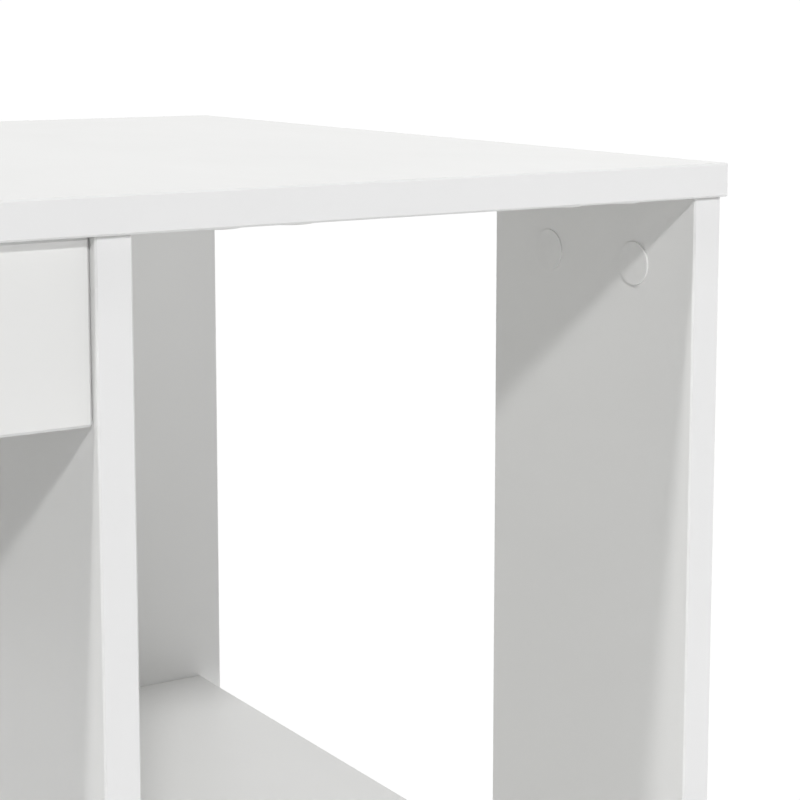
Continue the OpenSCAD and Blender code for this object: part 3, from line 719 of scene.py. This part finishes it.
def frame_at(origin: np.ndarray, axis: np.ndarray) -> np.ndarray:
    """A 4 x 4 matrix whose Z runs along axis and whose place is origin.

    Args:
        origin: The point, in metres.
        axis: A unit vector along one of the frame's directions.

    Returns:
        The matrix.
    """
    side = np.roll(np.abs(axis), 1)
    matrix = np.eye(4)
    matrix[:3, 0] = side
    matrix[:3, 1] = np.cross(axis, side)
    matrix[:3, 2] = axis
    matrix[:3, 3] = origin
    return matrix


def standing_frames(node: bpy.types.Object) -> np.ndarray:
    """Finds where each turned solid of a node stands and which way its head faces.

    A solid's axis is the side of its box that is unlike the other two. Its head is
    at the end of that axis where the points lie furthest from it.

    Args:
        node: A CAD node's object.

    Returns:
        A K x 4 x 4 array of matrices: origin at the head's end, +Z out of the head.
    """
    frames = []
    for points in solids_of(node):
        low, high = points.min(0), points.max(0)
        size = high - low
        k = int(np.argmax(np.abs(size - np.median(size))))
        middle = (low + high) / 2
        flat = points - middle
        flat[:, k] = 0
        wide = np.linalg.norm(flat, axis=1)
        rim = points[wide > 0.98 * wide.max(), k].mean()
        sign = 1.0 if rim > middle[k] else -1.0
        axis = np.zeros(3)
        axis[k] = sign
        origin = middle.copy()
        origin[k] = high[k] if sign > 0 else low[k]
        frames.append(frame_at(origin, axis))
    return np.array(frames)


# ---- Sub-assemblies ----


@dataclass
class Part:
    """What every new piece has: the nodes it stands for, its body and its slot."""

    nodes: tuple[str, ...]
    body: str
    slot: Slot

    def settle(self, made: bpy.types.Object) -> bpy.types.Object:
        """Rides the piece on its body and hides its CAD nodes.

        Args:
            made: The piece.

        Returns:
            The same piece.
        """
        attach(made, self.body)
        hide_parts(*self.nodes)
        LOG.info(
            "%s: %d faces for %s", made.name, len(made.data.polygons), ", ".join(self.nodes)
        )
        return made


@dataclass
class CoverCaps(Part):
    """Low plastic caps over the cam locks."""

    radius: float = 10.0 * MM
    height: float = 0.9 * MM
    rim: float = 0.22 * MM
    crown: float = 0.03 * MM
    peg: float = 0.6 * MM
    peg_length: float = 1.8 * MM

    def profile(self) -> np.ndarray:
        """Half section: peg, flat underside, wall, rounded rim, faintly crowned top.

        Returns:
            A P x 2 array of (r, z), with z = 0 at the crown's top.
        """
        r, h = self.radius, self.height
        flat = r - self.rim
        s = np.linspace(1.0, 0.0, 9)[:, None]
        crown = np.column_stack((flat * s, -self.crown * s**2))
        return np.concatenate((
            [[0.0, -h - self.peg_length], [self.peg, -h - self.peg_length], [self.peg, -h]],
            [[r - 0.1 * MM, -h], [r, -h + 0.1 * MM]],
            rounded((flat, -self.crown - self.rim), self.rim, 0.0, 84.0, 7),
            crown,
        ))

    def make(
        self, name: str, node: bpy.types.Object, material: bpy.types.Material
    ) -> bpy.types.Object:
        """Builds all the caps as one piece.

        Args:
            name: The piece's name.
            node: The CAD node that says where they are.
            material: Their finish.

        Returns:
            The piece.
        """
        shape = turned(self.profile(), 56)
        return self.settle(shape.repeated(standing_frames(node)).build(name, material, 30.0))


@dataclass
class HolePlugs(CoverCaps):
    """Caps with a hollow stem, pressed into the spare connector holes."""

    height: float = 1.8 * MM
    stem: float = 7.0 * MM
    stem_length: float = 6.0 * MM
    wall: float = 1.0 * MM

    def profile(self) -> np.ndarray:
        """Half section: a cup-shaped stem under the same crowned cap.

        Returns:
            A P x 2 array of (r, z), with z = 0 at the crown's top.
        """
        cap = super().profile()[3:]
        h, s, w = self.height, self.stem, self.wall
        foot = -h - self.stem_length
        return np.concatenate((
            [[0.0, -h - w], [s - w, -h - w], [s - w, foot], [s - 0.3 * MM, foot]],
            [[s, foot + 0.6 * MM], [s, -h]],
            cap,
        ))


@dataclass
class FloorGlides(Part):
    """Nail-on glides with a domed sole."""

    radius: float = 7.0 * MM
    height: float = 3.0 * MM
    rim: float = 1.1 * MM
    belly: float = 0.35 * MM
    pin: float = 1.0 * MM
    pin_length: float = 12.0 * MM

    def make(
        self, name: str, node: bpy.types.Object, material: bpy.types.Material
    ) -> bpy.types.Object:
        """Builds all the glides as one piece, soles on the floor.

        Args:
            name: The piece's name.
            node: The CAD node that says where they are.
            material: Their finish.

        Returns:
            The piece.
        """
        r, h, flat = self.radius, self.height, self.radius - self.rim
        s = np.linspace(0.0, 1.0, 7)[:, None]
        sole = np.column_stack((flat * s, self.belly * s**2))
        tip = h + self.pin_length
        profile = np.concatenate((
            sole,
            rounded((flat, self.belly + self.rim), self.rim, -84.0, 0.0, 6),
            [[r, h - 0.3 * MM], [r - 0.3 * MM, h], [self.pin, h]],
            [[self.pin, tip - 1.0 * MM], [0.3 * MM, tip], [0.0, tip]],
        ))
        centres = np.array([(p.min(0) + p.max(0)) / 2 for p in solids_of(node)])
        frames = np.tile(np.eye(4), (len(centres), 1, 1))
        frames[:, :2, 3] = centres[:, :2]
        return self.settle(turned(profile, 40).repeated(frames).build(name, material))


class Head(Enum):
    """Shapes of screw head."""

    COUNTERSUNK = "countersunk"
    PAN = "pan"


@dataclass
class Screws(Part):
    """Cross-recess screws, all of one kind and size."""

    length: float
    shank: float
    head: float
    head_height: float
    kind: Head
    recess: float = 0.55
    thread: float = 1.6 * MM

    def profile(self) -> np.ndarray:
        """Half section from the point to the head, with z = 0 at the head's end.

        The threaded stretch is a saw-tooth line of equal ridges. The head's end is
        sampled in fine rings, so that the recess can be pressed into it.

        Returns:
            A P x 2 array of (r, z).
        """
        neck = -self.head_height
        tip = -self.length
        start, end = tip + 2.5 * self.shank, neck - 1.5 * self.thread
        ridges = max(1, int((end - start) / self.thread))
        z = np.linspace(start, end, 2 * ridges + 1)
        r = self.shank * np.where(np.arange(len(z)) % 2, 1.0, 0.76)
        body = np.concatenate(([[0.0, tip]], np.column_stack((r, z)), [[self.shank, neck]]))
        s = np.linspace(1.0, 0.0, 15)[:, None]
        if self.kind is Head.PAN:
            top = np.column_stack((self.head * np.sqrt(s), -0.5 * self.head_height * s**2))
            side = np.array([[self.head, neck], [self.head, neck * 0.6]])
            return np.concatenate((body, side, top[1:]))
        side = np.array([[self.head, -0.25 * MM], [self.head, -0.05 * MM]])
        top = np.column_stack(((self.head - 0.1 * MM) * s, 0.0 * s))
        return np.concatenate((body, side, top))

    def pressed(self, surface: Surface) -> Surface:
        """Presses the cross recess into the head's end.

        The depth at (x, y) is the recess depth times how far the point is inside
        either arm of the cross, eased at the arm's sides and end.

        Args:
            surface: The screw without its recess.

        Returns:
            The screw with it.
        """
        points = surface.points.copy()
        x, y, z = points.T
        arm, width = self.recess * self.head, 0.11 * self.head
        ease = 0.09 * self.head

        def inside(along: np.ndarray, across: np.ndarray) -> np.ndarray:
            """How far a point is inside one arm, 0 to 1."""
            sides = np.clip((width + ease - np.abs(across)) / ease, 0, 1)
            ends = np.clip((arm + ease - np.abs(along)) / (2 * ease), 0, 1)
            return sides * ends

        share = np.maximum(inside(x, y), inside(y, x))
        on_head = (z > -0.7 * self.head_height) & (np.hypot(x, y) < 0.95 * self.head)
        depth = 0.6 * min(self.head_height, self.head)
        points[:, 2] -= np.where(on_head, share * depth, 0.0)
        return Surface(points, surface.corners, surface.counts)

    def make(
        self, name: str, node: bpy.types.Object, material: bpy.types.Material
    ) -> bpy.types.Object:
        """Builds all the screws of the node as one piece.

        Args:
            name: The piece's name.
            node: The CAD node that says where they are.
            material: Their finish.

        Returns:
            The piece.
        """
        shape = self.pressed(turned(self.profile(), 48))
        return self.settle(shape.repeated(standing_frames(node)).build(name, material, 42.0))


@dataclass
class Roller(Part):
    """A nylon runner wheel with a crowned tread and a dished side."""

    bore: float = 2.08 * MM
    edge: float = 0.7 * MM
    dish: float = 0.45 * MM
    hub: float = 3.7 * MM
    recess: float = 0.9 * MM
    crown: float = 0.12 * MM
    rim: float = 1.5 * MM
    slope: float = 0.4 * MM

    def make(
        self,
        name: str,
        node: bpy.types.Object,
        material: bpy.types.Material,
        head_side: float,
    ) -> bpy.types.Object:
        """Builds the wheel where its CAD node is.

        Args:
            name: The piece's name.
            node: The CAD node that it stands for.
            material: Its finish.
            head_side: 1 or -1 for the X side on which the axle's head sits in a
                recess, 0 for a wheel without one.

        Returns:
            The piece.
        """
        points = np.concatenate(solids_of(node))
        low, high = points.min(0), points.max(0)
        radius, half = (high[2] - low[2]) / 2, (high[0] - low[0]) / 2
        s = np.linspace(-1.0, 1.0, 9)
        flat = half - self.edge
        tread = np.column_stack((radius - self.crown * s**2, flat * s))
        inner = half - self.dish
        shoulder = radius - self.crown - self.edge
        rim, foot = radius - self.rim, radius - self.rim - self.slope
        near = half - (self.recess if head_side else 0.0)
        lip = near if head_side else half - 0.1 * MM
        loop = np.concatenate((
            [[self.bore, -half + 0.15 * MM], [self.bore + 0.15 * MM, -half]],
            [[self.hub, -half], [self.hub + self.slope, -inner], [foot, -inner]],
            [[rim, -half]],
            rounded((shoulder, -flat), self.edge, -90.0, -8.0, 5),
            tread[1:-1],
            rounded((shoulder, flat), self.edge, 8.0, 90.0, 5),
            [[rim, half], [foot, inner], [self.hub + self.slope, inner]],
            [[self.hub, near], [self.bore, lip]],
        ))
        axis = np.array([head_side or 1.0, 0.0, 0.0])
        frames = frame_at((low + high) / 2, axis)[None]
        return self.settle(turned_ring(loop).repeated(frames).build(name, material))


@dataclass
class RunnerPair:
    """The sheet-steel runners of one side: a channel on the cabinet, an angle on the drawer."""

    side: str
    gauge: float = 1.0 * MM
    bend: float = 0.6 * MM

    def folded(self, node: bpy.types.Object, path: Sequence[tuple[float, float]]) -> Surface:
        """Folds a sheet along a path and runs it the length of its CAD node.

        Args:
            node: The CAD node that gives the length.
            path: Corners of the sheet's middle line, (x, z).

        Returns:
            The runner's surface.
        """
        low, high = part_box(node.name)
        return swept(rolled(path, self.gauge, self.bend), low.y, high.y)

    def make(self, nodes: dict[str, bpy.types.Object], material: bpy.types.Material) -> None:
        """Builds both runners of this side.

        Args:
            nodes: The frame's nodes by name.
            material: Their finish.
        """
        half = self.gauge / 2
        toward = 1.0 if self.side == "left" else -1.0
        name = f"{self.side}_cabinet_runner"
        low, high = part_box(name)
        wall = low.x + half if toward > 0 else high.x - half
        lip = high.x if toward > 0 else low.x
        down, up = low.z + half, high.z - half
        path = [(lip, down), (wall, down), (wall, up), (lip, up)]
        piece = self.folded(nodes[name], path).build(f"{name}_sheet", material)
        Part((name,), "desk_frame", Slot.ENAMEL).settle(piece)
        name = f"{self.side}_drawer_runner"
        low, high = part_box(name)
        near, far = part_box(f"drawer_{self.side}_side")
        reach = near.x if toward > 0 else far.x
        web = reach - toward * half
        foot = high.x if toward > 0 else low.x
        rail = low.x if toward > 0 else high.x
        down, up = low.z + half, high.z - half
        path = [(foot, down), (web, down), (web, up), (rail, up)]
        piece = self.folded(nodes[name], path).build(f"{name}_sheet", material)
        Part((name,), "drawer", Slot.ENAMEL).settle(piece)


@dataclass
class Carcass:
    """The boards and plain fittings that keep their CAD meshes."""

    boards: tuple[str, ...] = (
        "main_top", "return_top", "right_leg_panel", "divider_panel", "right_back_panel",
        "right_mid_shelf", "right_bottom_shelf", "left_side_panel", "modesty_panel",
        "drawer_hanger_panel", "return_front_gable", "return_rear_gable",
        "return_back_panel", "return_mid_shelf", "return_bottom_shelf",
        "drawer_front", "drawer_left_side", "drawer_right_side", "drawer_back",
    )
    zinc: tuple[str, ...] = ("cam_locks", "drawer_cam_locks")
    steel: tuple[str, ...] = (
        "cam_bolts", "drawer_cam_bolts", "cabinet_roller_axles", "drawer_roller_axles",
    )
    beech: tuple[str, ...] = ("dowels", "drawer_dowels")
    hardboard: tuple[str, ...] = ("drawer_bottom",)

    def thin_axis(self, name: str) -> Axis:
        """The direction in which a board is thinnest, which its broad faces look along."""
        low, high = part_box(name)
        return Axis(int(np.argmin(np.array(high - low))))

    def coat(self, node: bpy.types.Object, material: bpy.types.Material) -> None:
        """Puts a finish on a CAD node.

        Args:
            node: The CAD node's object.
            material: Its finish.
        """
        for holder in node.material_slots:
            holder.material = material
        LOG.info("%s: %s", node.name, material.name)

    def dress(
        self, nodes: dict[str, bpy.types.Object], finishes: dict[Slot, bpy.types.Material]
    ) -> None:
        """Gives every kept node its finish.

        Args:
            nodes: The frame's nodes by name.
            finishes: The plain finishes by slot.
        """
        films = {axis: Laminate(axis).make() for axis in Axis}
        for name in self.boards:
            self.coat(nodes[name], films[self.thin_axis(name)])
        for names, slot in (
            (self.zinc, Slot.ZINC),
            (self.steel, Slot.STEEL),
            (self.beech, Slot.BEECH),
            (self.hardboard, Slot.HARDBOARD),
        ):
            for name in names:
                self.coat(nodes[name], finishes[slot])


# ---- Studio ----


@dataclass(frozen=True)
class Camera:
    """A long lens a little above the worktop, turned towards the right end."""

    place: Colour = (0.0987, -0.6674, 0.8149)
    yaw: float = 32.46
    pitch: float = 7.52
    lens: float = 90.7
    shift_x: float = 0.0123
    shift_y: float = -0.15

    def set_up(self) -> bpy.types.Object:
        """Makes the camera and gives it to the scene.

        Returns:
            The camera's object.
        """
        data = bpy.data.cameras.new("camera")
        data.lens, data.sensor_width = self.lens, 36.0
        data.shift_x, data.shift_y = self.shift_x, self.shift_y
        data.clip_start, data.clip_end = 0.01, 200.0
        data.dof.use_dof = False
        made = bpy.data.objects.new("camera", data)
        made.location = self.place
        made.rotation_euler = (math.radians(90.0 - self.pitch), 0.0, math.radians(-self.yaw))
        bpy.context.scene.collection.objects.link(made)
        bpy.context.scene.camera = made
        return made


@dataclass(frozen=True)
class Lamp:
    """A distant soft lamp."""

    name: str
    direction: Colour
    strength: float
    spread: float
    colour: Colour = (1.0, 1.0, 1.0)

    def set_up(self) -> None:
        """Makes the lamp, shining along its direction."""
        data = bpy.data.lights.new(self.name, "SUN")
        data.energy, data.angle, data.color = self.strength, math.radians(self.spread), self.colour
        made = bpy.data.objects.new(self.name, data)
        made.rotation_mode = "QUATERNION"
        made.rotation_quaternion = Vector(self.direction).to_track_quat("-Z", "Y")
        bpy.context.scene.collection.objects.link(made)


@dataclass(frozen=True)
class Glow:
    """A broad soft light all along one side, brightest straight towards it."""

    towards: Colour
    strength: float


@dataclass(frozen=True)
class Studio:
    """A white sweep with broad glows at its sides and two distant soft lamps."""

    white: float = 1.02
    floor: Colour = (0.80, 0.80, 0.80)
    floor_glow: float = 0.09
    fade: tuple[float, float] = (0.1, 0.72)
    reach: float = 60.0
    drop: float = -0.4 * MM
    glows: tuple[Glow, ...] = (
        Glow((-1.0, 0.0, 0.0), 0.42),
        Glow((1.0, 0.0, 0.0), 1.05),
        Glow((0.0, 1.0, 0.0), 0.78),
    )
    lamps: tuple[Lamp, ...] = (
        Lamp("key", (0.350, 0.740, -0.574), 1.50, 5.0),
        Lamp("side", (0.540, 0.078, -0.838), 1.10, 3.5),
    )

    def light_world(self) -> None:
        """Makes the world: the glows, behind a sheet that the camera sees as white.

        A glow's light from a direction is its strength times the cosine of the angle
        between that direction and its own, and nothing past a right angle.
        """
        world = bpy.data.worlds.new("studio")
        world.use_nodes = True
        tree = world.node_tree
        tree.nodes.clear()
        direction = tree.nodes.new("ShaderNodeTexCoord").outputs["Generated"]
        total = None
        for glow in self.glows:
            facing = tree.nodes.new("ShaderNodeVectorMath")
            facing.operation = "DOT_PRODUCT"
            facing.inputs[1].default_value = glow.towards
            tree.links.new(direction, facing.inputs[0])
            share = tree.nodes.new("ShaderNodeMath")
            share.operation = "MAXIMUM"
            tree.links.new(facing.outputs["Value"], share.inputs[0])
            share.inputs[1].default_value = 0.0
            light = tree.nodes.new("ShaderNodeMath")
            light.operation = "MULTIPLY_ADD"
            tree.links.new(share.outputs[0], light.inputs[0])
            light.inputs[1].default_value = glow.strength
            light.inputs[2].default_value = 0.0
            if total:
                tree.links.new(total, light.inputs[2])
            total = light.outputs[0]
        dome = tree.nodes.new("ShaderNodeBackground")
        tree.links.new(total, dome.inputs["Strength"])
        sheet = tree.nodes.new("ShaderNodeBackground")
        for background in (dome, sheet):
            background.inputs["Color"].default_value = (1.0, 1.0, 1.0, 1.0)
        sheet.inputs["Strength"].default_value = self.white
        rays = tree.nodes.new("ShaderNodeLightPath")
        mix = tree.nodes.new("ShaderNodeMixShader")
        output = tree.nodes.new("ShaderNodeOutputWorld")
        tree.links.new(rays.outputs["Is Camera Ray"], mix.inputs[0])
        tree.links.new(dome.outputs[0], mix.inputs[1])
        tree.links.new(sheet.outputs[0], mix.inputs[2])
        tree.links.new(mix.outputs[0], output.inputs["Surface"])
        bpy.context.scene.world = world

    def lay_floor(self, low: Vector, high: Vector) -> None:
        """Lays the floor: pale near the desk, and pure white a little way off.

        The share of white grows with the distance from the desk's footprint, which
        is the length of the point's offsets past the footprint's sides.

        Args:
            low: Lowest corner of the desk's box.
            high: Highest corner of the desk's box.
        """
        g = Graph("floor")
        split = g.add("ShaderNodeSeparateXYZ")
        g.feed(split.inputs[0], g.place)
        past = []
        for i in range(2):
            middle, reach = (low[i] + high[i]) / 2, (high[i] - low[i]) / 2
            offset = g.calc("ABSOLUTE", g.calc("SUBTRACT", split.outputs[i], middle))
            past.append(g.calc("MAXIMUM", g.calc("SUBTRACT", offset, reach), 0.0))
        squares = g.calc("ADD", g.calc("POWER", past[0], 2.0), g.calc("POWER", past[1], 2.0))
        away = g.remap(g.calc("SQRT", squares), self.fade, (0.0, 1.0), True)
        g.shader.inputs["Base Color"].default_value = (*self.floor, 1.0)
        g.shader.inputs["Roughness"].default_value = 0.9
        g.shader.inputs["Emission Color"].default_value = (1.0, 1.0, 1.0, 1.0)
        g.shader.inputs["Emission Strength"].default_value = self.floor_glow
        white = g.add("ShaderNodeEmission")
        white.inputs["Strength"].default_value = self.white
        mix = g.add("ShaderNodeMixShader")
        output = [n for n in g.tree.nodes if n.type == "OUTPUT_MATERIAL"][0]
        g.feed(mix.inputs[0], away)
        g.feed(mix.inputs[1], g.shader.outputs["BSDF"])
        g.feed(mix.inputs[2], white.outputs[0])
        g.feed(output.inputs["Surface"], mix.outputs[0])
        n = 96
        t = np.linspace(0.0, 2.0 * np.pi, n, endpoint=False)
        rim = np.column_stack((np.cos(t) * self.reach, np.sin(t) * self.reach, np.full(n, self.drop)))
        sheet = Surface(rim, np.arange(n), np.array([n]))
        sheet.build("floor", g.material)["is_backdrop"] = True

    def set_up(self, low: Vector, high: Vector) -> None:
        """Lights the scene and lays the floor.

        Args:
            low: Lowest corner of the desk's box.
            high: Highest corner of the desk's box.
        """
        self.light_world()
        self.lay_floor(low, high)
        for lamp in self.lamps:
            lamp.set_up()
        view = bpy.context.scene.view_settings
        view.view_transform, view.look = "Standard", "None"
        LOG.info("studio: %d lamps", len(self.lamps))


def plain_finishes() -> dict[Slot, bpy.types.Material]:
    """Makes the finishes that don't depend on a board's direction.

    Returns:
        The materials by slot.
    """
    return {
        Slot.CAP: Moulded("cap_plastic", (0.80, 0.80, 0.79), 0.44, 0.05).make(),
        Slot.ZINC: Metal("zinc", (0.60, 0.61, 0.63), (0.44, 0.45, 0.47), 0.46).make(),
        Slot.STEEL: Metal(
            "plated_steel", (0.72, 0.73, 0.74), (0.60, 0.61, 0.63), 0.30, drawn=True
        ).make(),
        Slot.BEECH: Beech().make(),
        Slot.HARDBOARD: Hardboard().make(),
        Slot.NYLON: Moulded("nylon", (0.80, 0.80, 0.76), 0.38, 0.2, 1800.0).make(),
        Slot.ENAMEL: Enamel().make(),
    }


def main() -> None:
    """Builds the desk's looks in order, from the carcass to the camera."""
    logging.basicConfig(level=logging.INFO, format="%(name)s %(message)s")
    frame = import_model()
    cad_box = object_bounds()
    nodes = frame["nodes"]
    finishes = plain_finishes()
    Carcass().dress(nodes, finishes)

    caps = CoverCaps(("cam_cover_caps",), "desk_frame", Slot.CAP)
    caps.make("cover_caps", nodes["cam_cover_caps"], finishes[Slot.CAP])
    plugs = HolePlugs(("spare_hole_plugs",), "desk_frame", Slot.CAP)
    plugs.make("hole_plugs", nodes["spare_hole_plugs"], finishes[Slot.CAP])
    glides = FloorGlides(("floor_glides",), "desk_frame", Slot.NYLON)
    glides.make("glides", nodes["floor_glides"], finishes[Slot.NYLON])

    for node, body, sizes, kind in (
        ("back_panel_screws", "desk_frame", (49.8, 3.0, 5.0, 2.0), Head.COUNTERSUNK),
        ("drawer_back_screws", "drawer", (34.8, 1.8, 3.6, 1.8), Head.COUNTERSUNK),
        ("cabinet_runner_screws", "desk_frame", (13.8, 1.6, 3.4, 0.8), Head.PAN),
        ("drawer_runner_screws", "drawer", (11.2, 1.5, 3.0, 1.2), Head.PAN),
    ):
        length, shank, head, height = (size * MM for size in sizes)
        screws = Screws((node,), body, Slot.STEEL, length, shank, head, height, kind)
        screws.make(f"{node}_turned", nodes[node], finishes[Slot.STEEL])

    for side, toward in (("left", -1.0), ("right", 1.0)):
        RunnerPair(side).make(nodes, finishes[Slot.ENAMEL])
        for kind, head_side in (("cabinet", 0.0), ("drawer", toward)):
            name = f"{side}_{kind}_roller"
            wheel = Roller((name,), name, Slot.NYLON)
            wheel.make(f"{name}_wheel", nodes[name], finishes[Slot.NYLON], head_side)

    Studio().set_up(*cad_box)
    Camera().set_up()


if __name__ == "__main__":
    main()
